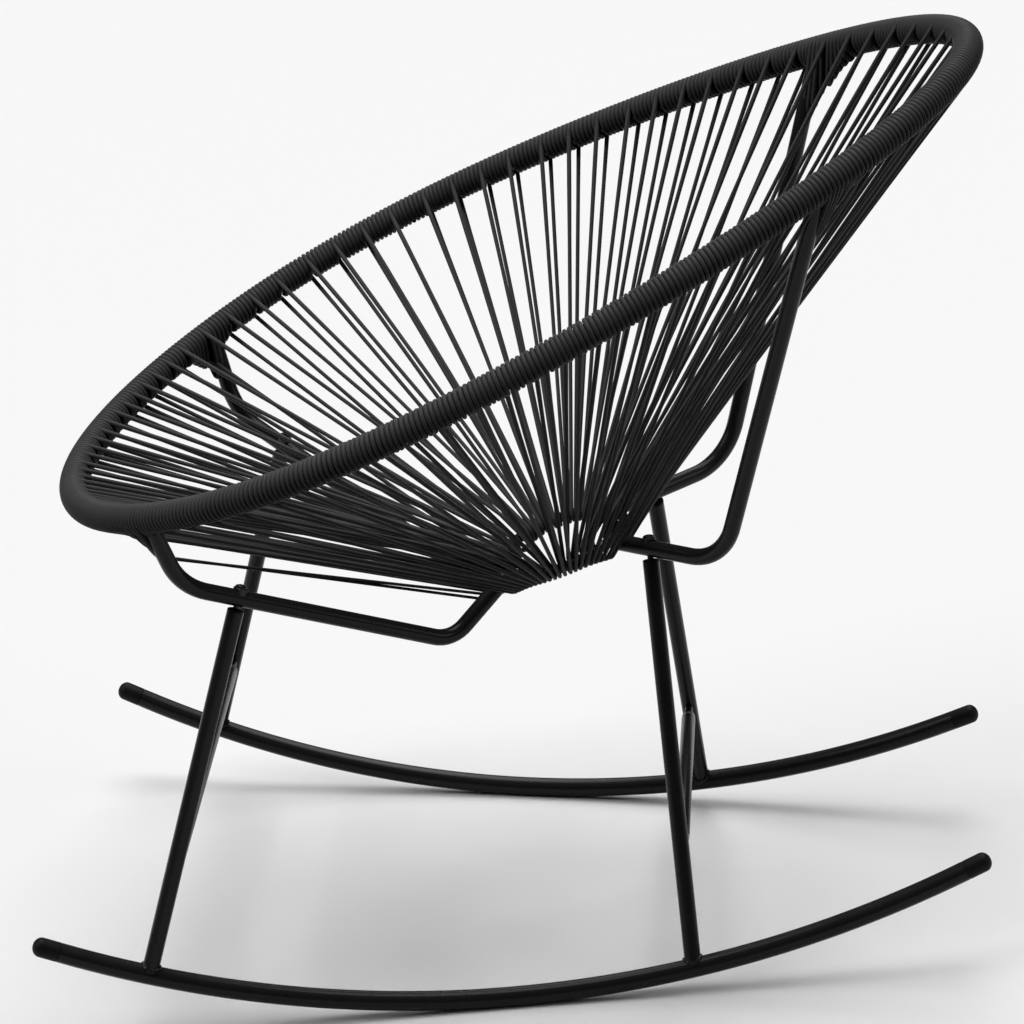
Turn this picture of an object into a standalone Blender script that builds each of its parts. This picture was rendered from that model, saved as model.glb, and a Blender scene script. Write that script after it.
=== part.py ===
"""A black rocking chair: an egg-shaped steel hoop and a small seat ring laced with round cord, on tube legs and rockers.

Metres, +Z up. The sitter faces -Y and the sitter's left is +X. The chair stands where it balances when empty.
"""
import math
from collections import namedtuple

import bmesh
import bpy
import numpy as np
from mathutils import Matrix, Vector

# Tube and rod sizes
HOOP_TUBE = 0.019
ROCKER_TUBE = 0.019
FRAME_TUBE = 0.016
STRETCHER_TUBE = 0.014
RING_ROD = 0.010
TUBE_WALL = 0.0012
CLEARANCE = 0.0003

# Hoop: an egg in a tilted plane, its pointed end up at the back
HOOP_LENGTH = 0.948
HOOP_WIDTH = 0.702
HOOP_EGG_SHIFT = 0.050
HOOP_END_FLATNESS = 0.021
HOOP_SIDE_FLATNESS = 0.005
HOOP_CENTRE = Vector((0.0, -0.023, 0.647))
HOOP_TILT = math.radians(24.75)
HOOP_VENT = 0.006

# Seat ring under the middle of the bowl
RING_DIAMETER = 0.134
RING_CENTRE = Vector((0.0, 0.0535, 0.380))
RING_TILT = math.radians(19.0)

# Support tubes, left side; the right side mirrors them
REAR_HOOP_JOINT = math.radians(36.5)
FRONT_HOOP_JOINT = math.radians(136.0)
REAR_RING_JOINT = math.radians(35.5)
FRONT_RING_JOINT = math.radians(142.0)
FRONT_LOW_BEND = Vector((0.224, -0.282, 0.439))
FRONT_RING_BEND = Vector((0.084, -0.048, 0.317))
REAR_BEND = Vector((0.129, 0.215, 0.410))
FRONT_LOW_BEND_RADIUS = 0.069
FRONT_RING_BEND_RADIUS = 0.0345
REAR_BEND_RADIUS = 0.061

# Rockers: circular arcs in upright planes that toe in towards the back
ROCKER_RADIUS = 1.070
ROCKER_FRONT_REACH = 0.420
ROCKER_REAR_REACH = 0.440
ROCKER_HALF_SPACING = 0.2293
ROCKER_TOE_IN = math.radians(7.85)
ROCKER_FACET = 0.074
CAP_LENGTH = 0.026
CAP_STEM = 0.018
CAP_DOME = 0.005

# Legs, measured along the support tubes and the rockers
FRONT_LEG_ALONG_TUBE = 0.062
REAR_LEG_ALONG_TUBE = 0.092
FRONT_LEG_ON_ROCKER = -0.338
REAR_LEG_ON_ROCKER = 0.177
LEG_TOP_GAP = 0.0018
LEG_PLUG_DOME = 0.003
LEG_PLUG_STEM = 0.022

# Seat bolts through the support tubes into the leg plugs
SEAT_BOLT = 0.006
SEAT_BOLT_HEAD = 0.011
SEAT_BOLT_HEAD_HEIGHT = 0.003
SEAT_BOLT_GRIP = 0.014
SADDLE_WASHER = 0.014
SADDLE_WASHER_HEIGHT = 0.002

# Stretchers between the legs, held by studs and nuts
FRONT_STRETCHER_ALONG_LEG = 0.75
REAR_STRETCHER_ALONG_LEG = 0.725
STRETCHER_SETBACK = 0.034
STRETCHER_DOME = 0.003
STRETCHER_INSERT = 0.020
STUD = 0.008
STUD_GRIP = 0.016
STUD_NUT = 0.0125
STUD_NUT_THICKNESS = 0.007
STUD_WASHER = 0.0135
STUD_WASHER_THICKNESS = 0.003

# Cord: wrapped round the hoop and laced in pairs of runs to the ring
CORD = 0.0045
WRAP_RIB_DEPTH = 0.0012
RUN_SPREAD = 0.0030
HOOP_RUN_HEIGHT = 0.0009
RING_RUN_HEIGHT = 0.0016
LAYER_RISE = 0.0034
LOOP_MARGIN = 0.0031
RING_JOINT_GAP = math.radians(7.5)
SECTION_GAP = 0.0004
REAR_PAIRS, REAR_SECTIONS, REAR_LAYERS = 16, 2, 1
SIDE_PAIRS, SIDE_SECTIONS, SIDE_LAYERS = 21, 3, 1
FRONT_PAIRS, FRONT_SECTIONS, FRONT_LAYERS = 26, 2, 2
FRONT_END_SPREAD = 0.45
HOOP_FACETS_PER_SECTION = 4
WRAP_RIBS_PER_SECTION = 7
RING_FACETS_PER_SECTION = 2

# Facets
HOOP_SIDES = 6
TUBE_SIDES = 8
ROCKER_SIDES = 12
LEG_SIDES = 12
RING_SIDES = 6
RUN_SIDES = 4
TURNED_SIDES = 8
BEND_STEPS = 4
HOOP_SAMPLES = 3600

HOOP_NORMAL = Vector((0.0, -math.sin(HOOP_TILT), math.cos(HOOP_TILT)))
RING_NORMAL = Vector((0.0, -math.sin(RING_TILT), math.cos(RING_TILT)))
WRAP_RADIUS = HOOP_TUBE / 2 + CORD
RING_WRAP_RADIUS = RING_ROD / 2 + CORD
RUN_RADIUS = CORD / 2

Arc = namedtuple("Arc", "name hoop_start hoop_end ring_start ring_end pairs sections layers end_spread")


def make_material(name, colour, roughness, metallic):
    """One Principled finish from an sRGB hex colour."""
    material = bpy.data.materials.new(name)
    material.use_nodes = True
    shader = material.node_tree.nodes["Principled BSDF"]
    parts = [int(colour[k:k + 2], 16) / 255 for k in (1, 3, 5)]
    linear = [((c + 0.055) / 1.055) ** 2.4 if c > 0.04045 else c / 12.92 for c in parts]
    shader.inputs["Base Color"].default_value = (*linear, 1.0)
    shader.inputs["Roughness"].default_value = roughness
    shader.inputs["Metallic"].default_value = metallic
    return material


def make_object(name, mesh, material, matrix=Matrix.Identity(4), sharp=math.radians(40)):
    """Link one named piece, shaded smooth across its shallow edges."""
    mesh.shade_smooth()
    mesh.set_sharp_from_angle(angle=sharp)
    mesh.materials.clear()
    mesh.materials.append(material)
    piece = bpy.data.objects.new(name, mesh)
    piece.matrix_world = matrix
    bpy.context.scene.collection.objects.link(piece)
    return piece


def to_mesh(bm, name="shape"):
    """Close off a bmesh as a mesh with its faces pointing out."""
    bmesh.ops.recalc_face_normals(bm, faces=bm.faces)
    mesh = bpy.data.meshes.new(name)
    bm.to_mesh(mesh)
    bm.free()
    return mesh


def combine(mesh, others, operation):
    """Boolean of one mesh with each of the others, as a new mesh."""
    for other in others:
        base = bpy.data.objects.new("boolean_base", mesh)
        tool = bpy.data.objects.new("boolean_tool", other)
        for piece in (base, tool):
            bpy.context.scene.collection.objects.link(piece)
        step = base.modifiers.new("boolean", "BOOLEAN")
        step.operation = operation
        step.object = tool
        ready = base.evaluated_get(bpy.context.evaluated_depsgraph_get())
        mesh = bpy.data.meshes.new_from_object(ready)
        for piece in (base, tool):
            bpy.data.objects.remove(piece)
    return mesh


def clear_of(radius, sides=TURNED_SIDES):
    """Corner radius of a faceted hole whose flats clear a bar of the given radius."""
    return (radius + CLEARANCE) / math.cos(math.pi / sides)


def same_area(radius, sides):
    """Corner radius of a faceted bar with the section area of a round one."""
    return radius * math.sqrt(2 * math.pi / (sides * math.sin(2 * math.pi / sides)))


def inside_of(bore, sides):
    """Corner radius of a faceted plug that clears the flats of a faceted bore."""
    return bore * math.cos(math.pi / sides) - CLEARANCE


def directions_of(points):
    """Unit direction at each point, from the unit directions of the runs either side."""
    runs = [(after - before).normalized() for before, after in zip(points, points[1:])]
    middle = [(first + second).normalized() for first, second in zip(runs, runs[1:])]
    return [runs[0]] + middle + [runs[-1]]


def add_skin(bm, points, directions, radii, sides, side_axis, closed):
    """Rings of vertices round a path, bridged with quads; returns the rings."""
    rings = []
    for point, direction, radius in zip(points, directions, radii):
        across = (side_axis - direction * side_axis.dot(direction)).normalized()
        upward = across.cross(direction)
        ring = []
        for index in range(sides):
            angle = 2 * math.pi * (index + 0.5) / sides
            ring.append(bm.verts.new(point + radius * (math.cos(angle) * upward + math.sin(angle) * across)))
        rings.append(ring)
    pairs = list(zip(rings, rings[1:]))
    if closed:
        pairs.append((rings[-1], rings[0]))
    for first, second in pairs:
        bridge(bm, first, second)
    return rings


def bridge(bm, first, second):
    """Quads between two rings of equal count."""
    for index in range(len(first)):
        after = (index + 1) % len(first)
        bm.faces.new((first[index], first[after], second[after], second[index]))


def sweep(points, directions, radius, sides, side_axis, closed=False):
    """A solid bar along a path, its ends flat unless it closes on itself."""
    bm = bmesh.new()
    rings = add_skin(bm, points, directions, [radius] * len(points), sides, side_axis, closed)
    if not closed:
        bm.faces.new(rings[0])
        bm.faces.new(rings[-1])
    return to_mesh(bm)


def sweep_hollow(outer, inner, sides, side_axis):
    """A tube with flat ends; its skin and its bore are each (points, directions, radii)."""
    bm = bmesh.new()
    skin = add_skin(bm, *outer, sides, side_axis, False)
    bore = add_skin(bm, *inner, sides, side_axis, False)
    bridge(bm, skin[0], bore[0])
    bridge(bm, skin[-1], bore[-1])
    return to_mesh(bm)


def tube(path, radius, sides, side_axis):
    """A tube of the frame's wall along a path."""
    ways = directions_of(path)
    bore = radius - TUBE_WALL
    return sweep_hollow((path, ways, [radius] * len(path)), (path, ways, [bore] * len(path)), sides, side_axis)


def turned(profile, sides=TURNED_SIDES):
    """A lathe shape about Z from (radius, height) points; an end at radius 0 closes to a point."""
    bm = bmesh.new()
    rings = []
    for radius, height in profile:
        if radius == 0.0:
            rings.append([bm.verts.new((0.0, 0.0, height))])
            continue
        steps = [2 * math.pi * (index + 0.5) / sides for index in range(sides)]
        rings.append([bm.verts.new((radius * math.cos(a), radius * math.sin(a), height)) for a in steps])
    for first, second in zip(rings, rings[1:]):
        if len(first) > 1 and len(second) > 1:
            bridge(bm, first, second)
            continue
        tip, rim = (first[0], second) if len(first) == 1 else (second[0], first)
        for index in range(len(rim)):
            bm.faces.new((tip, rim[index], rim[(index + 1) % len(rim)]))
    for ring in (rings[0], rings[-1]):
        if len(ring) > 1:
            bm.faces.new(ring)
    return to_mesh(bm)


def placed(mesh, matrix):
    """The mesh moved to its place, as a tool for a Boolean."""
    mesh.transform(matrix)
    return mesh


def along(origin, direction, side_axis=Vector((1.0, 0.0, 0.0))):
    """Place local +Z along a direction, with local X near the side axis."""
    z = direction.normalized()
    x = (side_axis - z * side_axis.dot(z)).normalized()
    y = z.cross(x)
    matrix = Matrix((x, y, z)).transposed().to_4x4()
    matrix.translation = origin
    return matrix


def rounded_path(corners, radii, steps=BEND_STEPS):
    """A path of straight runs whose inner corners are arcs of the given radii."""
    path = [corners[0]]
    for before, corner, after, radius in zip(corners, corners[1:], corners[2:], radii):
        to_before = (before - corner).normalized()
        to_after = (after - corner).normalized()
        half = to_before.angle(to_after) / 2
        centre = corner + (to_before + to_after).normalized() * (radius / math.sin(half))
        start = (corner + to_before * (radius / math.tan(half)) - centre).normalized()
        end = (corner + to_after * (radius / math.tan(half)) - centre).normalized()
        path.extend(centre + start.slerp(end, index / steps) * radius for index in range(steps + 1))
    path.append(corners[-1])
    return path


def mirrored(point, side):
    """The point on the left (+1) or right (-1) side."""
    return Vector((point.x * side, point.y, point.z))


def hoop_point(turn):
    """Centre line of the hoop; turn 0 is its top at the back, and a quarter turn is the left side."""
    half = HOOP_LENGTH / 2 - HOOP_END_FLATNESS
    length = half * math.cos(turn) + HOOP_EGG_SHIFT * math.cos(2 * turn) + HOOP_END_FLATNESS * math.cos(3 * turn)
    width = HOOP_WIDTH / 2 * math.sin(turn) + HOOP_SIDE_FLATNESS * math.sin(3 * turn)
    up_slope = Vector((0.0, math.cos(HOOP_TILT), math.sin(HOOP_TILT)))
    return HOOP_CENTRE + up_slope * length + Vector((width, 0.0, 0.0))


def hoop_way(turn):
    """Direction of the hoop's centre line."""
    step = 1e-4
    return (hoop_point(turn + step) - hoop_point(turn - step)).normalized()


def ring_way(turn):
    """Direction of the ring's centre line."""
    step = 1e-4
    return (ring_point(turn + step) - ring_point(turn - step)).normalized()


def ring_point(turn):
    """Centre line of the seat ring, with turns counted as on the hoop."""
    up_slope = Vector((0.0, math.cos(RING_TILT), math.sin(RING_TILT)))
    radius = RING_DIAMETER / 2
    return RING_CENTRE + up_slope * (radius * math.cos(turn)) + Vector((radius * math.sin(turn), 0.0, 0.0))


def rocker_point(run, side):
    """Centre line of a rocker at a level distance run behind its lowest point."""
    height = ROCKER_RADIUS - math.sqrt(ROCKER_RADIUS ** 2 - run ** 2) + ROCKER_TUBE / 2
    across = ROCKER_HALF_SPACING - run * math.sin(ROCKER_TOE_IN)
    return Vector((across * side, run * math.cos(ROCKER_TOE_IN), height))


def lacing_arcs():
    """The four stretches of hoop between support joints, with the pairs of runs that each has."""
    full = 2 * math.pi
    gap = RING_JOINT_GAP
    return (
        Arc("rear", -REAR_HOOP_JOINT, REAR_HOOP_JOINT, -REAR_RING_JOINT + gap, REAR_RING_JOINT - gap,
            REAR_PAIRS, REAR_SECTIONS, REAR_LAYERS, 0.0),
        Arc("left", REAR_HOOP_JOINT, FRONT_HOOP_JOINT, REAR_RING_JOINT + gap, FRONT_RING_JOINT - gap,
            SIDE_PAIRS, SIDE_SECTIONS, SIDE_LAYERS, 0.0),
        Arc("front", FRONT_HOOP_JOINT, full - FRONT_HOOP_JOINT, FRONT_RING_JOINT + gap, full - FRONT_RING_JOINT - gap,
            FRONT_PAIRS, FRONT_SECTIONS, FRONT_LAYERS, FRONT_END_SPREAD),
        Arc("right", full - FRONT_HOOP_JOINT, full - REAR_HOOP_JOINT, full - FRONT_RING_JOINT + gap,
            full - REAR_RING_JOINT - gap, SIDE_PAIRS, SIDE_SECTIONS, SIDE_LAYERS, 0.0),
    )


def turns_at(start, end, shares):
    """Turns that split the hoop between two turns into lengths in proportion to the shares."""
    turns = np.linspace(start, end, HOOP_SAMPLES)
    points = np.array([hoop_point(turn) for turn in turns])
    lengths = np.concatenate(([0.0], np.cumsum(np.linalg.norm(np.diff(points, axis=0), axis=1))))
    stops = np.concatenate(([0.0], np.cumsum(shares) / np.sum(shares)))
    return [float(turn) for turn in np.interp(stops * lengths[-1], lengths, turns)]


def pair_turns(arc):
    """Turns between an arc's pairs of runs; the pairs stand wider apart towards the arc's ends where it has a spread."""
    order = np.arange(arc.pairs)
    from_end = np.minimum(order, order[::-1])
    return turns_at(arc.hoop_start, arc.hoop_end, 1 + arc.end_spread * np.exp(-(from_end / 2) ** 2))


def section_turns(arc):
    """The turns between pairs, as one list for each section of the arc's cord."""
    turns = pair_turns(arc)
    each = arc.pairs // arc.sections
    return [turns[index * each:(index + 1) * each + 1] for index in range(arc.sections)]


def inset(points, ways):
    """The path with its first and last points drawn in by half the gap between cord sections."""
    first = points[0] + ways[0] * (SECTION_GAP / 2)
    last = points[-1] - ways[-1] * (SECTION_GAP / 2)
    return [first] + points[1:-1] + [last]


def hoop_facets():
    """Turns of the hoop's facets, the same number to each cord section, so with one at every support joint."""
    turns = []
    for arc in lacing_arcs():
        for share in section_turns(arc):
            turns.extend(section_facets(share)[:-1])
    return turns


def section_facets(share):
    """Turns of the hoop's facets along one cord section."""
    return turns_at(share[0], share[-1], [1] * HOOP_FACETS_PER_SECTION)


def ring_reach(arc, index):
    """The ring's turns where one section of an arc starts and ends."""
    step = (arc.ring_end - arc.ring_start) / arc.sections
    return arc.ring_start + step * index, arc.ring_start + step * (index + 1)


def support_corners(name, side):
    """Corner points and bend radii of a support tube, from the hoop's centre line to the ring's surface."""
    if name == "front":
        middle = [mirrored(FRONT_LOW_BEND, side), mirrored(FRONT_RING_BEND, side)]
        radii = [FRONT_LOW_BEND_RADIUS, FRONT_RING_BEND_RADIUS]
        hoop_turn, ring_turn = FRONT_HOOP_JOINT, FRONT_RING_JOINT
    else:
        middle = [mirrored(REAR_BEND, side)]
        radii = [REAR_BEND_RADIUS]
        hoop_turn, ring_turn = REAR_HOOP_JOINT, REAR_RING_JOINT
    top = hoop_point(hoop_turn * side)
    ring = ring_point(ring_turn * side)
    standoff = (middle[-1] - ring).normalized() * (RING_ROD / 2 + CLEARANCE)
    return [top] + middle + [ring + standoff], radii


def leg_line(name, side):
    """Where a leg's axis crosses its support tube and its rocker, and the tube's direction there."""
    corners, _ = support_corners(name, side)
    start, end = corners[1], corners[2]
    reach = FRONT_LEG_ALONG_TUBE if name == "front" else REAR_LEG_ALONG_TUBE
    direction = (end - start).normalized()
    run = FRONT_LEG_ON_ROCKER if name == "front" else REAR_LEG_ON_ROCKER
    return start + direction * reach, rocker_point(run, side), direction


def ring_facets(start, end):
    """Turns of the ring's facets along one cord section."""
    return [start + (end - start) * index / RING_FACETS_PER_SECTION for index in range(RING_FACETS_PER_SECTION + 1)]


def build_hoop(material):
    """The hoop tube, vented into each support tube where that is welded on."""
    points = [hoop_point(turn) for turn in hoop_facets()]
    ways = [hoop_way(turn) for turn in hoop_facets()]
    mesh = sweep(points, ways, HOOP_TUBE / 2, HOOP_SIDES, HOOP_NORMAL, True)
    hollows = [sweep(points, ways, HOOP_TUBE / 2 - TUBE_WALL, HOOP_SIDES, HOOP_NORMAL, True)]
    for name in ("front", "rear"):
        for side in (1, -1):
            corners, _ = support_corners(name, side)
            vent = turned([(HOOP_VENT / 2, 0.0), (HOOP_VENT / 2, HOOP_TUBE)])
            hollows.append(placed(vent, along(corners[0], corners[1] - corners[0])))
    make_object("rim_hoop", combine(mesh, hollows, "DIFFERENCE"), material)


def build_ring(material):
    """The seat ring, bent from round rod, with facets along each cord section and one at each support joint."""
    turns = []
    for arc in lacing_arcs():
        for index in range(arc.sections):
            turns.extend(ring_facets(*ring_reach(arc, index))[index > 0:])
    points = [ring_point(turn) for turn in turns]
    ways = [ring_way(turn) for turn in turns]
    make_object("seat_ring", sweep(points, ways, RING_ROD / 2, RING_SIDES, RING_NORMAL, True), material)


def hoop_cutter(turn):
    """A short length of hoop with clearance, which shapes a tube's end to sit on it."""
    turns = hoop_facets()
    full = 2 * math.pi
    nearest = min(range(len(turns)), key=lambda k: abs((turns[k] - turn + math.pi) % full - math.pi))
    near = [turns[(nearest + step) % len(turns)] for step in (-1, 0, 1)]
    points = [hoop_point(step) for step in near]
    return sweep(points, [hoop_way(step) for step in near], HOOP_TUBE / 2 + CLEARANCE, HOOP_SIDES, HOOP_NORMAL)


def build_support(name, side, tag, material):
    """One bent support tube, seated on the hoop and drilled for its seat bolt."""
    corners, radii = support_corners(name, side)
    path = rounded_path(corners, radii)
    mesh = tube(path, FRAME_TUBE / 2, TUBE_SIDES, Vector((side, 0.0, 0.0)))
    joint = FRONT_HOOP_JOINT if name == "front" else REAR_HOOP_JOINT
    upper, lower, _ = leg_line(name, side)
    drill = turned([(clear_of(SEAT_BOLT / 2), -FRAME_TUBE), (clear_of(SEAT_BOLT / 2), FRAME_TUBE)])
    drill = placed(drill, along(upper, upper - lower))
    make_object(f"{name}_support_{tag}", combine(mesh, [hoop_cutter(joint * side), drill], "DIFFERENCE"), material)


def rocker_runs():
    """Level distances of a rocker's facets, one of them centred on the lowest point."""
    steps = [ROCKER_FACET * (index + 0.5) for index in range(-40, 40)]
    inner = [step for step in steps if -ROCKER_FRONT_REACH < step - ROCKER_FACET / 3
             and step + ROCKER_FACET / 3 < ROCKER_REAR_REACH]
    return [-ROCKER_FRONT_REACH] + inner + [ROCKER_REAR_REACH]


def rocker_side_axis(side):
    """Level direction square to a rocker's plane."""
    return Vector((math.cos(ROCKER_TOE_IN), side * math.sin(ROCKER_TOE_IN), 0.0))


def build_rocker(side, tag, material, cap_material):
    """One rocker tube and the plastic plugs in its ends."""
    path = [rocker_point(run, side) for run in rocker_runs()]
    axis = rocker_side_axis(side)
    stem = inside_of(ROCKER_TUBE / 2 - TUBE_WALL, ROCKER_SIDES)
    make_object(f"rocker_{tag}", tube(path, ROCKER_TUBE / 2, ROCKER_SIDES, axis), material)
    ends = (("front", path[0], path[0] - path[1]), ("rear", path[-1], path[-1] - path[-2]))
    radius = ROCKER_TUBE / 2
    profile = [
        (stem, -CAP_STEM),
        (stem, CLEARANCE),
        (radius, CLEARANCE),
        (radius, CAP_LENGTH - CAP_DOME),
        (radius * 0.8, CAP_LENGTH - CAP_DOME * 0.3),
        (0.0, CAP_LENGTH),
    ]
    for name, point, direction in ends:
        cap = turned(profile, ROCKER_SIDES)
        make_object(f"rocker_cap_{name}_{tag}", cap, cap_material, along(point, direction, axis))


def stretcher_height(name):
    """Where a stretcher's stud crosses the left leg's axis."""
    upper, lower, _ = leg_line(name, 1)
    return upper.lerp(lower, FRONT_STRETCHER_ALONG_LEG if name == "front" else REAR_STRETCHER_ALONG_LEG)


def build_leg(name, side, tag, material, plug_material):
    """One leg tube seated on its rocker, and the domed plug in its top."""
    upper, lower, _ = leg_line(name, side)
    up = (upper - lower).normalized()
    top = upper - up * (FRAME_TUBE / 2 + LEG_TOP_GAP + LEG_PLUG_DOME)
    axis = Vector((0.0, 1.0, 0.0))
    mesh = tube([lower, top], FRAME_TUBE / 2, LEG_SIDES, axis)
    run = FRONT_LEG_ON_ROCKER if name == "front" else REAR_LEG_ON_ROCKER
    near = [rocker_point(step, side) for step in rocker_runs() if abs(step - run) < 2 * ROCKER_FACET]
    seat = sweep(near, directions_of(near), ROCKER_TUBE / 2 + CLEARANCE, ROCKER_SIDES, rocker_side_axis(side))
    hole = turned([(clear_of(STUD / 2), 0.0), (clear_of(STUD / 2), FRAME_TUBE)])
    hole = placed(hole, along(mirrored(stretcher_height(name), side), Vector((-side, 0.0, 0.0)), axis))
    make_object(f"leg_{name}_{tag}", combine(mesh, [seat, hole], "DIFFERENCE"), material)
    stem = inside_of(FRAME_TUBE / 2 - TUBE_WALL, LEG_SIDES)
    profile = [
        (stem, -LEG_PLUG_STEM),
        (stem, CLEARANCE),
        (FRAME_TUBE / 2, CLEARANCE),
        (FRAME_TUBE / 2, LEG_PLUG_DOME * 0.4),
        (FRAME_TUBE / 2 * 0.75, LEG_PLUG_DOME),
        (0.0, LEG_PLUG_DOME),
    ]
    drill = turned([(clear_of(SEAT_BOLT / 2), -SEAT_BOLT_GRIP - CLEARANCE), (clear_of(SEAT_BOLT / 2), FRAME_TUBE)])
    plug = combine(turned(profile, LEG_SIDES), [drill], "DIFFERENCE")
    make_object(f"leg_plug_{name}_{tag}", plug, plug_material, along(top, up, axis))


def build_seat_bolt(name, side, tag, bolt_material, washer_material):
    """The bolt that pulls a support tube down to its leg, and the saddle washer under its head."""
    upper, lower, tube = leg_line(name, side)
    up = (upper - lower).normalized()
    place = along(upper, up, tube)
    head = FRAME_TUBE / 2 + SADDLE_WASHER_HEIGHT + CLEARANCE
    tip = -(FRAME_TUBE / 2 + LEG_TOP_GAP + LEG_PLUG_DOME + SEAT_BOLT_GRIP)
    profile = [
        (SEAT_BOLT / 2, tip),
        (SEAT_BOLT / 2, head),
        (SEAT_BOLT_HEAD / 2, head),
        (SEAT_BOLT_HEAD / 2, head + SEAT_BOLT_HEAD_HEIGHT * 0.6),
        (SEAT_BOLT_HEAD / 2 * 0.6, head + SEAT_BOLT_HEAD_HEIGHT),
        (0.0, head + SEAT_BOLT_HEAD_HEIGHT),
    ]
    make_object(f"seat_bolt_{name}_{tag}", turned(profile), bolt_material, place)
    washer = turned([(SADDLE_WASHER / 2, FRAME_TUBE / 4), (SADDLE_WASHER / 2, head - CLEARANCE)])
    hole = turned([(clear_of(SEAT_BOLT / 2), 0.0), (clear_of(SEAT_BOLT / 2), 2 * head)])
    saddle = turned([(clear_of(FRAME_TUBE / 2), -SADDLE_WASHER), (clear_of(FRAME_TUBE / 2), SADDLE_WASHER)])
    level = place.inverted().to_3x3() @ tube
    saddle = placed(saddle, along(Vector((0.0, 0.0, 0.0)), level, Vector((0.0, 0.0, 1.0))))
    make_object(f"saddle_washer_{name}_{tag}", combine(washer, [hole, saddle], "DIFFERENCE"), washer_material, place)


def build_stretcher(name, material, stud_material):
    """One stretcher tube between a pair of legs, with its studs, nuts and washers."""
    centre = stretcher_height(name)
    half = centre.x - STRETCHER_SETBACK
    axis = Vector((0.0, 1.0, 0.0))
    middle = Vector((0.0, centre.y, centre.z))
    radius = STRETCHER_TUBE / 2
    profile = [
        (radius * 0.75, -half),
        (radius, -half + STRETCHER_DOME),
        (radius, half - STRETCHER_DOME),
        (radius * 0.75, half),
    ]
    across = along(middle, Vector((1.0, 0.0, 0.0)), axis)
    socket = clear_of(STUD / 2)
    hollow = half - STRETCHER_INSERT
    bore = radius - TUBE_WALL
    drills = [turned([(bore, -hollow), (bore, hollow)], ROCKER_SIDES)]
    for end in (1, -1):
        depths = sorted((end * (hollow - CLEARANCE), end * (half + STUD_GRIP)))
        drills.append(turned([(socket, depth) for depth in depths]))
    make_object(f"{name}_stretcher", combine(turned(profile, ROCKER_SIDES), drills, "DIFFERENCE"), material, across)
    for side, tag in ((1, "left"), (-1, "right")):
        outward = along(mirrored(centre, side), Vector((-side, 0.0, 0.0)), axis)
        stud = turned([(STUD / 2, 0.0), (STUD / 2, STRETCHER_SETBACK + STUD_GRIP)])
        make_object(f"stretcher_stud_{name}_{tag}", stud, stud_material, outward)
        washer_face = STRETCHER_SETBACK - CLEARANCE - STUD_WASHER_THICKNESS
        nut_face = washer_face - CLEARANCE - STUD_NUT_THICKNESS
        shapes = (("nut", STUD_NUT, nut_face, STUD_NUT_THICKNESS, 6),
                  ("washer", STUD_WASHER, washer_face, STUD_WASHER_THICKNESS, TURNED_SIDES))
        for part, width, face, thickness, sides in shapes:
            body = turned([(width / 2, face), (width / 2, face + thickness)], sides)
            bore = turned([(socket, face - thickness), (socket, face + 2 * thickness)])
            make_object(f"stretcher_{part}_{name}_{tag}", combine(body, [bore], "DIFFERENCE"), stud_material, outward)


def run_end(facet, place, along_run, side_axis, bore):
    """A run's flat end, moved along the run until its corners keep out of the bore that one facet goes through."""
    point, way = facet[0], (facet[1] - facet[0]).normalized()
    across = (side_axis - along_run * side_axis.dot(along_run)).normalized()
    upward = across.cross(along_run)
    angles = [2 * math.pi * (index + 0.5) / RUN_SIDES for index in range(RUN_SIDES)]
    corners = [RUN_RADIUS * (math.cos(angle) * upward + math.sin(angle) * across) for angle in angles]
    while min((place + corner - point).cross(way).length for corner in corners) < bore + 2 * CLEARANCE:
        place = place + along_run * (CLEARANCE / 2)
    return place


def add_run(bm, hoop_turn, ring_turn, hoop_facet, ring_facet, upper, layer):
    """One taut run of cord, from the wrap on the hoop to its layer of loops on the ring, over or under both."""
    start, end = hoop_point(hoop_turn), ring_point(ring_turn)
    way = hoop_way(hoop_turn)
    lift = way.cross(end - start).normalized()
    if lift.z < 0:
        lift.negate()
    face = lift if upper else -lift
    first = start + face * (HOOP_TUBE / 2 + HOOP_RUN_HEIGHT)
    last = end + face * (RING_ROD / 2 + RING_RUN_HEIGHT + layer * LAYER_RISE)
    along_run = (last - first).normalized()
    side_axis = ring_way(ring_turn)
    first = run_end(hoop_facet, first, along_run, side_axis, HOOP_TUBE / 2 + CLEARANCE)
    last = run_end(ring_facet, last, -along_run, side_axis, RING_ROD / 2 + CLEARANCE)
    rings = add_skin(bm, [first, last], [along_run] * 2, [RUN_RADIUS] * 2, RUN_SIDES, side_axis, False)
    bm.faces.new(rings[0])
    bm.faces.new(rings[1])


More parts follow.
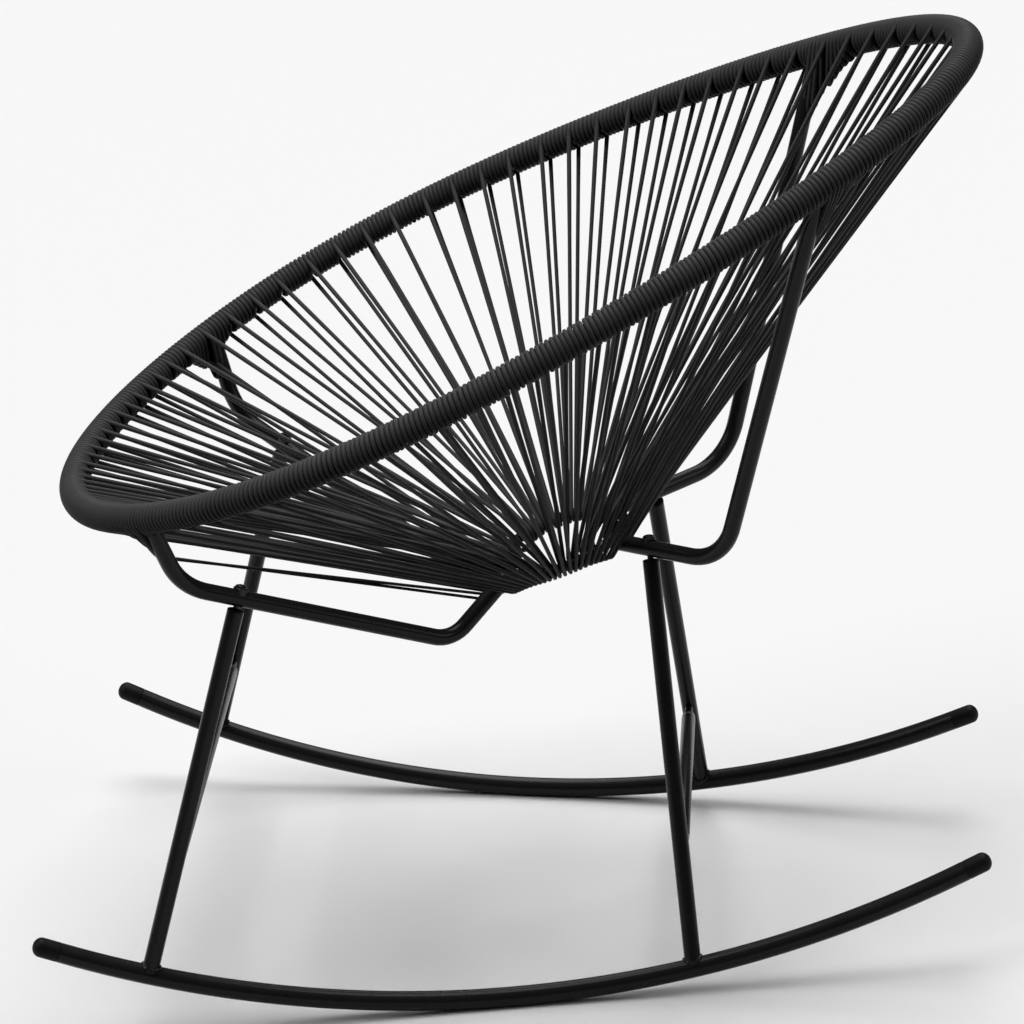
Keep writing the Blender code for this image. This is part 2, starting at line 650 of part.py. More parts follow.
def build_cord_section(name, hoop_turns, ring_start, ring_end, layers, joints, material):
    """One stretch of the cord: the ribbed wrap on the hoop, its taut runs and their loops on the ring."""
    crests = [(first + second) / 2 for first, second in zip(hoop_turns, hoop_turns[1:])]
    ribbed = turns_at(hoop_turns[0], hoop_turns[-1], [1] * (2 * WRAP_RIBS_PER_SECTION))
    ways = [hoop_way(turn) for turn in ribbed]
    crest = same_area(WRAP_RADIUS, HOOP_SIDES)
    radii = [crest - WRAP_RIB_DEPTH * (index % 2 == 0) for index in range(len(ribbed))]
    skin = (inset([hoop_point(turn) for turn in ribbed], ways), ways, radii)
    plain = section_facets(hoop_turns)
    ways = [hoop_way(turn) for turn in plain]
    bore = (inset([hoop_point(turn) for turn in plain], ways), ways, [HOOP_TUBE / 2 + CLEARANCE] * len(plain))
    wrap = sweep_hollow(skin, bore, HOOP_SIDES, HOOP_NORMAL)
    ring_turns = ring_facets(ring_start, ring_end)
    ways = [ring_way(turn) for turn in ring_turns]
    path = inset([ring_point(turn) for turn in ring_turns], ways)
    loop_radius = RING_WRAP_RADIUS + (layers - 1) * LAYER_RISE
    loops = sweep_hollow((path, ways, [loop_radius] * len(path)),
                         (path, ways, [RING_ROD / 2 + CLEARANCE] * len(path)), RING_SIDES, RING_NORMAL)
    runs = bmesh.new()
    margin = LOOP_MARGIN / (RING_DIAMETER / 2)
    loop_turns = np.linspace(ring_start + margin, ring_end - margin, len(crests))
    for index, (turn, loop_turn) in enumerate(zip(crests, loop_turns)):
        spread = RUN_SPREAD / 2 * (hoop_turns[index + 1] - hoop_turns[index])
        spread /= (hoop_point(hoop_turns[index + 1]) - hoop_point(hoop_turns[index])).length
        facet = sum(stop < turn for stop in plain[1:-1])
        hoop_facet = bore[0][facet:][:2]
        ring_facet = path[index * RING_FACETS_PER_SECTION // len(crests):][:2]
        add_run(runs, turn - spread, float(loop_turn), hoop_facet, ring_facet, True, index % layers)
        add_run(runs, turn + spread, float(loop_turn), hoop_facet, ring_facet, False, index % layers)
    mesh = combine(wrap, [to_mesh(runs), loops], "UNION")
    make_object(name, combine(mesh, joints, "DIFFERENCE"), material, sharp=math.radians(65))


def joint_cutters(arc_name, index, sections):
    """Clearance for the support tubes that a section's wrap goes round, at the ends of each arc."""
    ends = {"rear": (("rear", -1), ("rear", 1)), "left": (("rear", 1), ("front", 1)),
            "front": (("front", 1), ("front", -1)), "right": (("front", -1), ("rear", -1))}[arc_name]
    chosen = [ends[0]] if index == 0 else []
    if index == sections - 1:
        chosen.append(ends[1])
    cutters = []
    for name, side in chosen:
        corners, _ = support_corners(name, side)
        radius = clear_of(FRAME_TUBE / 2)
        stub = turned([(radius, 0.0), (radius, 2 * WRAP_RADIUS)])
        cutters.append(placed(stub, along(corners[0], corners[1] - corners[0])))
    return cutters


def build_cords(material):
    """Every stretch of the wrapped and laced cord."""
    for arc in lacing_arcs():
        for index, share in enumerate(section_turns(arc)):
            cutters = joint_cutters(arc.name, index, arc.sections)
            reach = ring_reach(arc, index)
            build_cord_section(f"cord_{arc.name}_{index + 1}", share, *reach, arc.layers, cutters, material)


def settle_on_origin():
    """Hang every piece on one empty, and stand the whole chair on the origin."""
    pieces = list(bpy.context.scene.objects)
    bpy.context.view_layer.update()
    corners = np.array([piece.matrix_world @ vertex.co for piece in pieces for vertex in piece.data.vertices])
    low, high = corners.min(axis=0), corners.max(axis=0)
    chair = bpy.data.objects.new("rocking_chair", None)
    bpy.context.scene.collection.objects.link(chair)
    for piece in pieces:
        piece.parent = chair
    chair.location = (-(low[0] + high[0]) / 2, -(low[1] + high[1]) / 2, -low[2])


def main():
    """Build the chair piece by piece."""
    for old in list(bpy.data.objects):
        bpy.data.objects.remove(old)
    steel = make_material("black_powder_coated_steel", "#1c1c1d", 0.42, 0.0)
    cord = make_material("black_pe_cord", "#171718", 0.5, 0.0)
    plastic = make_material("black_polypropylene", "#141415", 0.55, 0.0)
    fastener = make_material("black_oxide_steel", "#2a2a2b", 0.4, 1.0)
    build_hoop(steel)
    build_ring(steel)
    for side, tag in ((1, "left"), (-1, "right")):
        build_rocker(side, tag, steel, plastic)
        for name in ("front", "rear"):
            build_support(name, side, tag, steel)
            build_leg(name, side, tag, steel, plastic)
            build_seat_bolt(name, side, tag, fastener, fastener)
    for name in ("front", "rear"):
        build_stretcher(name, steel, fastener)
    build_cords(cord)
    settle_on_origin()


main()
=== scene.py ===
# %% [markdown]
# # A rocking chair laced with black cord
#
# The chair is a bowl of cord in a steel frame. An egg-shaped hoop is wrapped with round cord, and after
# every few turns the cord runs down to a small seat ring and back, so that pairs of taut runs make the
# seat. Bent tubes carry the hoop and the ring, and legs stand on two curved rockers.
#
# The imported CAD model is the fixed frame. Every piece made here is worked out from the same few sizes as
# the CAD drawing, rides on the chair's one body, and takes the place of the faceted solid that it stands
# for.

import bpy
import numpy as np
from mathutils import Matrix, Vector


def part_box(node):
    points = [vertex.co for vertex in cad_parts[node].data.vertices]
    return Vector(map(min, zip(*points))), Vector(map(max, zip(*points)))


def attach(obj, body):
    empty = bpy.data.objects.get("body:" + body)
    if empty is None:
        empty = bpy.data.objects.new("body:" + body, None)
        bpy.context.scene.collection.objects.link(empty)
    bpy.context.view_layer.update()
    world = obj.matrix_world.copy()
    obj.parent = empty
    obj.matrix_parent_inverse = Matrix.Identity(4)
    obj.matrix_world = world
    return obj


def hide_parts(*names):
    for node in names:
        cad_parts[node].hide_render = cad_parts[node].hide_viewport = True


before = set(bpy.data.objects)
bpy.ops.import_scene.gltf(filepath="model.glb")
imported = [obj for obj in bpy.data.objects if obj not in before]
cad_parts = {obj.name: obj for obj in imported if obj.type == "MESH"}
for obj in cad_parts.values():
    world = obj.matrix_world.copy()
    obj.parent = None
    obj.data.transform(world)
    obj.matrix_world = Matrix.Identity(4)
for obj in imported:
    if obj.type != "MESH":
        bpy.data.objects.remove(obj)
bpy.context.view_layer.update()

# %% [markdown]
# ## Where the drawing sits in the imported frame
#
# The CAD drawing puts the chair's lowest point near its own origin, and packing then moves the whole chair
# so that the origin lies on the floor under its middle. The seat ring is even on all sides, so the middle
# of its packed box is its centre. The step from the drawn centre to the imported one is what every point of
# the drawing moves by.

# %% Step from drawn points to packed points
LEFT = np.array((1.0, 0.0, 0.0))
UP = np.array((0.0, 0.0, 1.0))
RING_CENTRE = np.array((0.0, 0.0535, 0.380))
ring_low, ring_high = (np.array(corner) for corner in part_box("seat_ring"))
STEP = (ring_low + ring_high) / 2 - RING_CENTRE
print("drawing moves by", STEP.round(5))

# %% [markdown]
# ## The camera
#
# The photograph was taken from the sitter's left and from above, with a long lens. A camera can be aimed
# with a constraint, but a matrix built from azimuth, elevation and roll says exactly where it is and needs
# no helper.

# %% Camera at the photograph's angle
CAMERA_AZIMUTH = np.radians(94.527)
CAMERA_ELEVATION = np.radians(22.12)
CAMERA_ROLL = np.radians(3.125)
CAMERA_DISTANCE = 4.2916
CAMERA_TARGET = np.array((0.0, 0.00966, 0.4136)) + STEP
LENS_MM = 156.44


def camera_axes(azimuth, elevation, roll):
    """Right, up and back of a camera that looks from an azimuth and elevation, turned by a roll."""
    level = np.cos(elevation)
    back = np.array((np.sin(azimuth) * level, -np.cos(azimuth) * level, np.sin(elevation)))
    right = np.array((np.cos(azimuth), np.sin(azimuth), 0.0))
    up = np.cross(back, right)
    return right * np.cos(roll) - up * np.sin(roll), up * np.cos(roll) + right * np.sin(roll), back


camera_right, camera_up, camera_back = camera_axes(CAMERA_AZIMUTH, CAMERA_ELEVATION, CAMERA_ROLL)
camera_place = np.eye(4)
camera_place[:3, :3] = np.stack((camera_right, camera_up, camera_back), axis=1)
camera_place[:3, 3] = CAMERA_TARGET + camera_back * CAMERA_DISTANCE
camera = bpy.data.objects.new("camera", bpy.data.cameras.new("camera"))
camera.data.lens = LENS_MM
camera.matrix_world = camera_place.T.tolist()
bpy.context.scene.collection.objects.link(camera)
bpy.context.scene.camera = camera
print("camera at", camera_place[:3, 3].round(3))

# %% [markdown]
# ## Turning numbers into surfaces
#
# Nearly everything on the chair is a round bar, tube or cord bent along a line, or a turned shape such as
# a plug. Both are rings of points: a ring stands square to the line at each of its points, or square to
# the axis at each step of a turned profile. One function makes the rings as a whole array, and one turns
# arrays of rings into a piece.

# %% Rings of points along a line
FULL = 2 * np.pi


def unit(vectors):
    """Each vector divided by its own length."""
    return vectors / np.linalg.norm(vectors, axis=-1, keepdims=True)


def distances(path):
    """Length along a path from its first point to each point."""
    steps = np.linalg.norm(np.diff(path, axis=0), axis=1)
    return np.concatenate(([0.0], np.cumsum(steps)))


def ways_along(path, closed=False):
    """Unit direction at each point: from the point before it to the point after it."""
    if closed:
        return unit(np.roll(path, -1, axis=0) - np.roll(path, 1, axis=0))
    return unit(np.gradient(path, axis=0))


def rings(path, ways, radius, hint, sides):
    """point + radius * (cos a * side + sin a * top), for even angles a round each point of a path.

    The side is square to the way and the hint, and the top to the way and the side. The radius is one
    number, one per point of the path, or one per point of every ring.
    """
    side = unit(np.cross(ways, hint))
    top = np.cross(side, ways)
    angle = np.linspace(0.0, FULL, sides, endpoint=False)[:, None]
    around = np.cos(angle) * side[:, None] + np.sin(angle) * top[:, None]
    radius = np.asarray(radius, float)
    radius = radius[:, None] if radius.ndim == 1 else radius
    return path[:, None] + np.broadcast_to(radius, around.shape[:2])[..., None] * around


def swept(path, radius, hint, sides=20, closed=False):
    """A bar along a path: the rings, and whether the last joins the first."""
    return rings(path, ways_along(path, closed), radius, hint, sides), closed


def turned(profile, origin, axis, sides=32, hint=LEFT):
    """A turned shape: rings of the profile's (radius, height) points, square to an axis."""
    radius, height = np.array(profile, float).T
    axis = unit(np.asarray(axis, float))
    ways = np.broadcast_to(axis, (len(height), 3))
    return rings(origin + height[:, None] * axis, ways, radius, hint, sides), False


print("rings of a turned shape:", turned([(0.01, 0.0), (0.01, 0.02)], RING_CENTRE, UP)[0].shape)


# %% One piece from some arrays of rings
def cell_corners(values):
    """The four corners of every cell of a grid of values, in order round the cell."""
    return np.stack((values[:-1, :-1], values[1:, :-1], values[1:, 1:], values[:-1, 1:]), axis=2)


def skin(grid, closed, first):
    """Faces and UVs of one array of rings: quads between neighbours, and a flat face on each open end.

    The UV is metres along the path and metres round the ring.
    """
    count, sides = grid.shape[:2]
    index = first + np.arange(count * sides).reshape(count, sides)
    if closed:
        index = np.concatenate((index, index[:1]))
    index = np.concatenate((index, index[:, :1]), axis=1)
    line = grid.mean(axis=1)
    line = np.concatenate((line, line[:1])) if closed else line
    girth = np.linalg.norm(grid[0, 1] - grid[0, 0]) * np.arange(sides + 1)
    u, v = np.broadcast_arrays(distances(line)[:, None], girth[None])
    corners = cell_corners(np.stack((u, v), axis=-1)).reshape(-1, 2)
    faces = cell_corners(index).reshape(-1, 4).tolist()
    if not closed:
        faces += [index[0, :-1].tolist(), index[-1, -2::-1].tolist()]
        corners = np.concatenate((corners, np.zeros((2 * sides, 2))))
    return faces, corners


def make_piece(name, shapes, material, replaced=(), sharp=35.0):
    """One object from arrays of rings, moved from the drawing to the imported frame, riding on the chair.

    Edges that turn by more than the sharp angle, in degrees, stay sharp.
    """
    faces, corners, first = [], [], 0
    for grid, closed in shapes:
        more_faces, more_corners = skin(grid, closed, first)
        faces += more_faces
        corners.append(more_corners)
        first += grid.shape[0] * grid.shape[1]
    points = np.concatenate([grid.reshape(-1, 3) for grid, _ in shapes]) + STEP
    mesh = bpy.data.meshes.new(name)
    mesh.from_pydata(points.tolist(), [], faces)
    uv_map = mesh.uv_layers.new(name="surface")
    uv_map.data.foreach_set("uv", np.concatenate(corners).astype(np.float32).ravel())
    mesh.shade_smooth()
    mesh.set_sharp_from_angle(angle=np.radians(sharp))
    mesh.materials.append(material)
    piece = bpy.data.objects.new(name, mesh)
    bpy.context.scene.collection.objects.link(piece)
    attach(piece, "root")
    if replaced:
        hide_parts(*replaced)
    return piece


print("cells of a grid of 3 x 4 corners:", cell_corners(np.zeros((3, 4))).shape[:2])

# %% [markdown]
# ## Finishes
#
# Everything on the chair is black, and what tells the materials apart is how they take the light. Colours
# are written as sRGB hex values, and one function turns them into the linear numbers that a shader works
# in. One more small function adds a node, so that each finish reads as a short list of what it is made of.

# %% Colours and nodes
def linear(colour):
    """Linear RGBA of an sRGB hex colour."""
    parts = np.array([int(colour[k:k + 2], 16) for k in (1, 3, 5)]) / 255
    parts = np.where(parts > 0.04045, ((parts + 0.055) / 1.055) ** 2.4, parts / 12.92)
    return (*parts.tolist(), 1.0)


def add_node(tree, kind, values=None, links=None, **settings):
    """Adds one node: its own settings, the values of its fixed sockets, and what its other sockets read."""
    node = tree.nodes.new(kind)
    for key, value in settings.items():
        setattr(node, key, value)
    for key, value in (values or {}).items():
        node.inputs[key].default_value = value
    for key, source in (links or {}).items():
        tree.links.new(source, node.inputs[key])
    return node


def start_material(name, values):
    """A material with its Principled shader's fixed sockets set, its node tree and the shader."""
    material = bpy.data.materials.new(name)
    material.use_nodes = True
    shader = material.node_tree.nodes["Principled BSDF"]
    for key, value in values.items():
        shader.inputs[key].default_value = value
    return material, material.node_tree, shader


print("mid grey is", linear("#808080")[0])

# %% [markdown]
# ### Powder-coated steel tube
#
# The tubes are steel with a black polyester powder baked on. The coat levels out with a fine orange peel,
# which breaks up its satin highlights. The peel is about 1 mm across on such a coat, too fine to show from
# this far, so it is drawn at 3 mm. A slow change of roughness over some centimetres stands for handling.

# %% Powder coat
MM = 0.001
PEEL_SIZE = 3 * MM
HANDLING_SIZE = 45 * MM
powder_coat, tree, shader = start_material(
    "black_powder_coated_steel", {"IOR": 1.5, "Specular IOR Level": 0.17})
place = add_node(tree, "ShaderNodeTexCoord").outputs["Object"]
peel = add_node(tree, "ShaderNodeTexNoise", {"Scale": 1 / PEEL_SIZE, "Detail": 2.0}, {"Vector": place})
handling = add_node(tree, "ShaderNodeTexNoise", {"Scale": 1 / HANDLING_SIZE, "Detail": 3.0},
                    {"Vector": place})
satin = add_node(tree, "ShaderNodeMapRange", {"To Min": 0.22, "To Max": 0.32},
                 {"Value": handling.outputs["Fac"]})
tint = add_node(tree, "ShaderNodeMix", {"A": linear("#1e1e1e"), "B": linear("#272728")},
                {"Factor": handling.outputs["Fac"]}, data_type="RGBA")
bump = add_node(tree, "ShaderNodeBump", {"Strength": 0.25, "Distance": 0.2 * MM},
                {"Height": peel.outputs["Fac"]})
tree.links.new(tint.outputs["Result"], shader.inputs["Base Color"])
tree.links.new(satin.outputs["Result"], shader.inputs["Roughness"])
tree.links.new(bump.outputs["Normal"], shader.inputs["Normal"])
print("finish:", powder_coat.name)

# %% [markdown]
# ### Extruded polyethylene cord
#
# The cord is a solid round strand of polyethylene, drawn out of a die. The die leaves fine lines along the
# strand, so its satin highlight is streaked lengthwise. The pattern reads the piece's UV map, which runs
# in metres along the strand and round it, so the streaks follow every turn. The lines are about 0.4 mm
# apart.

# %% Cord finish
DIE_LINE = 0.4 * MM
STREAK_LENGTH = 30 * MM
BATCH_SIZE = 60 * MM
cord_finish, tree, shader = start_material(
    "black_extruded_polyethylene", {"IOR": 1.5, "Specular IOR Level": 0.05})
strand = add_node(tree, "ShaderNodeUVMap", uv_map="surface").outputs["UV"]
stretch = add_node(tree, "ShaderNodeMapping", {"Scale": (1 / STREAK_LENGTH, 1 / DIE_LINE, 1.0)},
                   {"Vector": strand})
lines = add_node(tree, "ShaderNodeTexNoise", {"Scale": 1.0, "Detail": 2.0},
                 {"Vector": stretch.outputs["Vector"]})
place = add_node(tree, "ShaderNodeTexCoord").outputs["Object"]
batch = add_node(tree, "ShaderNodeTexNoise", {"Scale": 1 / BATCH_SIZE, "Detail": 2.0}, {"Vector": place})
satin = add_node(tree, "ShaderNodeMapRange", {"To Min": 0.32, "To Max": 0.44},
                 {"Value": lines.outputs["Fac"]})
tint = add_node(tree, "ShaderNodeMix", {"A": linear("#424242"), "B": linear("#4e4e4e")},
                {"Factor": batch.outputs["Fac"]}, data_type="RGBA")
bump = add_node(tree, "ShaderNodeBump", {"Strength": 0.3, "Distance": 0.1 * MM},
                {"Height": lines.outputs["Fac"]})
tree.links.new(tint.outputs["Result"], shader.inputs["Base Color"])
tree.links.new(satin.outputs["Result"], shader.inputs["Roughness"])
tree.links.new(bump.outputs["Normal"], shader.inputs["Normal"])
print("finish:", cord_finish.name)

# %% [markdown]
# ### Moulded polypropylene plugs
#
# The plugs in the tube ends are injection-moulded polypropylene. The mould is spark-eroded, which leaves a
# fine even grain of about 0.5 mm and a duller black than the coat beside it. The grain is drawn at 1 mm so
# that it shows.

# %% Plug finish
GRAIN = 1 * MM
plug_finish, tree, shader = start_material(
    "black_moulded_polypropylene", {"IOR": 1.49, "Specular IOR Level": 0.14})
place = add_node(tree, "ShaderNodeTexCoord").outputs["Object"]
grain = add_node(tree, "ShaderNodeTexNoise", {"Scale": 1 / GRAIN, "Detail": 3.0}, {"Vector": place})
satin = add_node(tree, "ShaderNodeMapRange", {"To Min": 0.45, "To Max": 0.62},
                 {"Value": grain.outputs["Fac"]})
tint = add_node(tree, "ShaderNodeMix", {"A": linear("#0f0f0f"), "B": linear("#161616")},
                {"Factor": grain.outputs["Fac"]}, data_type="RGBA")
bump = add_node(tree, "ShaderNodeBump", {"Strength": 0.3, "Distance": 0.1 * MM},
                {"Height": grain.outputs["Fac"]})
tree.links.new(tint.outputs["Result"], shader.inputs["Base Color"])
tree.links.new(satin.outputs["Result"], shader.inputs["Roughness"])
tree.links.new(bump.outputs["Normal"], shader.inputs["Normal"])
print("finish:", plug_finish.name)

# %% [markdown]
# ### Black oxide and zinc-plated steel
#
# Bolts, studs and nuts are blackened steel: a thin dark oxide over metal, slightly uneven. The washers are
# zinc plated, a pale grey metal with a soft crystalline mottle of a few millimetres.

# %% Fastener finishes
def metal_finish(name, dark, light, rough_low, rough_high, mottle):
    """A metal whose colour and roughness drift between two values over a mottle of the given size."""
    material, tree, shader = start_material(name, {"Metallic": 1.0})
    place = add_node(tree, "ShaderNodeTexCoord").outputs["Object"]
    cloud = add_node(tree, "ShaderNodeTexNoise", {"Scale": 1 / mottle, "Detail": 4.0}, {"Vector": place})
    satin = add_node(tree, "ShaderNodeMapRange", {"To Min": rough_low, "To Max": rough_high},
                     {"Value": cloud.outputs["Fac"]})
    tint = add_node(tree, "ShaderNodeMix", {"A": linear(dark), "B": linear(light)},
                    {"Factor": cloud.outputs["Fac"]}, data_type="RGBA")
    tree.links.new(tint.outputs["Result"], shader.inputs["Base Color"])
    tree.links.new(satin.outputs["Result"], shader.inputs["Roughness"])
    print("finish:", name)
    return material


black_oxide = metal_finish("black_oxide_steel", "#2c2c2d", "#3a3a3b", 0.35, 0.5, 3 * MM)
zinc = metal_finish("zinc_plated_steel", "#8d8e90", "#a9aaab", 0.3, 0.45, 4 * MM)

# %% [markdown]
# ## Rockers
#
# A rocker is a tube rolled to a large circle, so its centre line is an arc: at a level distance run from
# the lowest point, it has risen by R - sqrt(R^2 - run^2). Its plane toes in towards the back. A plastic
# cap of the tube's own width closes each end: a short collar, a fine seam against the tube, and a shallow
# dome.

# %% Rocker tubes and their caps
SIDES = {"left": 1.0, "right": -1.0}
ROCKER_TUBE = 19 * MM
ROCKER_FACES = 24
ROCKER_STEPS = 96
ROCKER_RADIUS = 1.070
ROCKER_FRONT_REACH = 0.420
ROCKER_REAR_REACH = 0.440
ROCKER_HALF_SPACING = 0.2293
ROCKER_TOE_IN = np.radians(7.85)
CAP_LENGTH = 26 * MM
CAP_DOME = 8 * MM
CAP_SEAM = 0.5 * MM


def rocker_line(run, side):
    """Centre line of a rocker: run metres behind the lowest point, raised by the circle, toed in."""
    run = np.asarray(run, float)
    height = ROCKER_RADIUS - np.sqrt(ROCKER_RADIUS ** 2 - run ** 2) + ROCKER_TUBE / 2
    across = (ROCKER_HALF_SPACING - run * np.sin(ROCKER_TOE_IN)) * side
    return np.stack((across, run * np.cos(ROCKER_TOE_IN), height), axis=-1)


def dome(radius, start, length, steps=7):
    """Profile of a rounded end: radius * cos a at start + length * sin a, from wall to nearly the axis."""
    angle = np.linspace(0.0, 0.49 * np.pi, steps)
    return list(zip(radius * np.cos(angle), start + length * np.sin(angle)))


def rocker_cap(radius):
    """Profile of an end cap: a seam set in from the tube's wall, a collar, and a rounded dome."""
    collar = [(radius - CAP_SEAM, -CAP_SEAM), (radius - CAP_SEAM, CAP_SEAM), (radius, 2 * CAP_SEAM)]
    return collar + dome(radius, CAP_LENGTH - CAP_DOME, CAP_DOME)


for tag, side in SIDES.items():
    line = rocker_line(np.linspace(-ROCKER_FRONT_REACH, ROCKER_REAR_REACH, ROCKER_STEPS + 1), side)
    tube = swept(line, ROCKER_TUBE / 2, UP, ROCKER_FACES)
    make_piece(f"rocker_tube_{tag}", [tube], powder_coat, [f"rocker_{tag}"])
    ends = {"front": (line[0], line[0] - line[1]), "rear": (line[-1], line[-1] - line[-2])}
    for name, (point, outward) in ends.items():
        cap = turned(rocker_cap(ROCKER_TUBE / 2), point, outward, ROCKER_FACES, UP)
        make_piece(f"rocker_end_{name}_{tag}", [cap], plug_finish, [f"rocker_cap_{name}_{tag}"])
print("rocker length", round(float(distances(line)[-1]), 3), "m")

# %% [markdown]
# ## Support tubes
#
# Each support tube leaves the hoop, bends once or twice and ends against the seat ring. A tube bender
# makes straight runs joined by arcs, and the path here is made the same way. It is then spaced evenly, so
# that the rings of the sweep stay square to it.

# %% Hoop and ring lines
HOOP_LENGTH = 0.948
HOOP_WIDTH = 0.702
HOOP_EGG_SHIFT = 0.050
HOOP_END_FLATNESS = 0.021
HOOP_SIDE_FLATNESS = 0.005
HOOP_CENTRE = np.array((0.0, -0.023, 0.647))
HOOP_TILT = np.radians(24.75)
RING_DIAMETER = 0.134
RING_TILT = np.radians(19.0)


def hoop_line(turn):
    """The hoop: three cosines along its slope and two sines across it; turn 0 is the top at the back."""
    turn = np.asarray(turn, float)[..., None]
    slope = np.array((0.0, np.cos(HOOP_TILT), np.sin(HOOP_TILT)))
    half = HOOP_LENGTH / 2 - HOOP_END_FLATNESS
    egg = HOOP_EGG_SHIFT * np.cos(2 * turn)
    length = half * np.cos(turn) + egg + HOOP_END_FLATNESS * np.cos(3 * turn)
    width = HOOP_WIDTH / 2 * np.sin(turn) + HOOP_SIDE_FLATNESS * np.sin(3 * turn)
    return HOOP_CENTRE + length * slope + width * LEFT


def ring_line(turn):
    """The seat ring: a circle on its own slope, with turns counted as on the hoop."""
    turn = np.asarray(turn, float)[..., None]
    slope = np.array((0.0, np.cos(RING_TILT), np.sin(RING_TILT)))
    return RING_CENTRE + RING_DIAMETER / 2 * (np.cos(turn) * slope + np.sin(turn) * LEFT)


print("hoop length", round(float(distances(hoop_line(np.linspace(0, FULL, 2001)))[-1]), 3), "m")

# %% Bent tubes between them
RING_ROD = 10 * MM
FRAME_TUBE = 16 * MM
HOOP_JOINT = {"front": np.radians(136.0), "rear": np.radians(36.5)}
RING_JOINT = {"front": np.radians(142.0), "rear": np.radians(35.5)}
BENDS = {
    "front": (((0.224, -0.282, 0.439), 0.069), ((0.084, -0.048, 0.317), 0.0345)),
    "rear": (((0.129, 0.215, 0.410), 0.061),),
}


def support_corners(name, side):
    """Corners and bend radii of a support tube, from the hoop's centre line to the ring's surface."""
    middle = [np.array(point) * (side, 1.0, 1.0) for point, _ in BENDS[name]]
    ring = ring_line(RING_JOINT[name] * side)
    end = ring + unit(middle[-1] - ring) * RING_ROD / 2
    return [hoop_line(HOOP_JOINT[name] * side), *middle, end], [radius for _, radius in BENDS[name]]


def bent_path(corners, radii, steps=24):
    """Straight runs joined by arcs, each about a centre on its corner's bisector, radius / sin(half) away."""
    path = [corners[0][None]]
    for before, corner, after, radius in zip(corners, corners[1:], corners[2:], radii):
        back, on = unit(before - corner), unit(after - corner)
        half = np.arccos(back @ on) / 2
        centre = corner + unit(back + on) * radius / np.sin(half)
        first, last = (unit(corner + way * radius / np.tan(half) - centre) for way in (back, on))
        sweep = np.arccos(first @ last)
        share = np.linspace(0.0, 1.0, steps + 1)[:, None]
        arc = (np.sin((1 - share) * sweep) * first + np.sin(share * sweep) * last) / np.sin(sweep)
        path.append(centre + radius * arc)
    path.append(corners[-1][None])
    return np.concatenate(path)


def spaced(path, spacing):
    """The same path with its points an even distance apart."""
    run = distances(path)
    marks = np.linspace(0.0, run[-1], int(round(run[-1] / spacing)) + 1)
    return np.stack([np.interp(marks, run, path[:, axis]) for axis in range(3)], axis=-1)


print("bends of a front and a rear tube:", [len(bends) for bends in BENDS.values()])

# %% [markdown]
# A weld leaves a low bead with a ripple for every dip of the rod. Where a tube ends on another, the bead
# follows the line in which the two cylinders meet. Round the thinner tube by an angle, that line lies
# where the distance to the other tube's axis is its radius, which is a quadratic in the height along the
# thinner tube. The ring's rod is thinner than the tubes that end on it, so the bead there runs round a
# narrower tube of the same axis.

# %% Support tubes with their welds on the ring
QUARTERS = [(name, tag, side) for tag, side in SIDES.items() for name in ("front", "rear")]
TUBE_FACES = 22
TUBE_SPACING = 5 * MM
RING_WELD = 1.7 * MM
RING_WELD_RADIUS = 0.62 * FRAME_TUBE / 2
WELD_FACES = 8
WELD_RIPPLE = 0.07
WELD_DIPS = 13


def way_at(line, place, *more, step=0.01):
    """Unit direction of a line at a place on it: from a step before to a step after."""
    return unit(line(place + step, *more) - line(place - step, *more))


def square_to(axis, hint):
    """Two unit directions square to an axis and to each other."""
    first = unit(np.cross(axis, hint))
    return first, np.cross(axis, first)


def weld_bead(origin, axis, radius, other_axis, other_radius, size, steps=104):
    """A rippled bead along the line in which a tube along axis leaves another tube, both through origin."""
    angle = np.linspace(0.0, FULL, steps, endpoint=False)[:, None]
    first, second = square_to(axis, other_axis)
    outward = np.cos(angle) * first + np.sin(angle) * second
    wall = radius * outward
    flat_wall = wall - (wall @ other_axis)[:, None] * other_axis
    flat_axis = axis - (axis @ other_axis) * other_axis
    square, cross = flat_axis @ flat_axis, flat_wall @ flat_axis
    rest = (flat_wall ** 2).sum(axis=1) - other_radius ** 2
    height = (-cross + np.sqrt(np.maximum(cross ** 2 - square * rest, 0.0))) / square
    path = origin + wall + height[:, None] * axis
    ripple = size * (1 + WELD_RIPPLE * np.sin(WELD_DIPS * angle[:, 0]))
    return swept(path, ripple, outward, WELD_FACES, True)


for name, tag, side in QUARTERS:
    corners, radii = support_corners(name, side)
    path = spaced(bent_path(corners, radii), TUBE_SPACING)
    turn = RING_JOINT[name] * side
    arrival = unit(corners[-2] - corners[-1])
    ring_way = way_at(ring_line, turn)
    bead = weld_bead(ring_line(turn), arrival, RING_WELD_RADIUS, ring_way, RING_ROD / 2, RING_WELD)
    shapes = [swept(path, FRAME_TUBE / 2, LEFT, TUBE_FACES), bead]
    make_piece(f"support_tube_{name}_{tag}", shapes, powder_coat, [f"{name}_support_{tag}"])
    print(name, tag, "support", round(float(distances(path)[-1]), 3), "m")

# %% [markdown]
# ## Legs
#
# A leg is a straight tube from its rocker, where it is welded on, to a bolt under its support tube. A
# domed plastic plug closes its top. The tube starts inside the rocker, so only the weld shows where they
# meet.

# %% Legs, plugs and welds
LEG_ALONG_TUBE = {"front": 0.062, "rear": 0.092}
LEG_ON_ROCKER = {"front": -0.338, "rear": 0.177}
LEG_RINGS = 12
LEG_TOP_GAP = 1.8 * MM
LEG_PLUG_DOME = 3 * MM
LEG_PLUG_SEAM = 0.3 * MM
LEG_PLUG_INSET = 0.4 * MM
LEG_PLUG_COLLAR = 1 * MM
LEG_WELD = 2.1 * MM


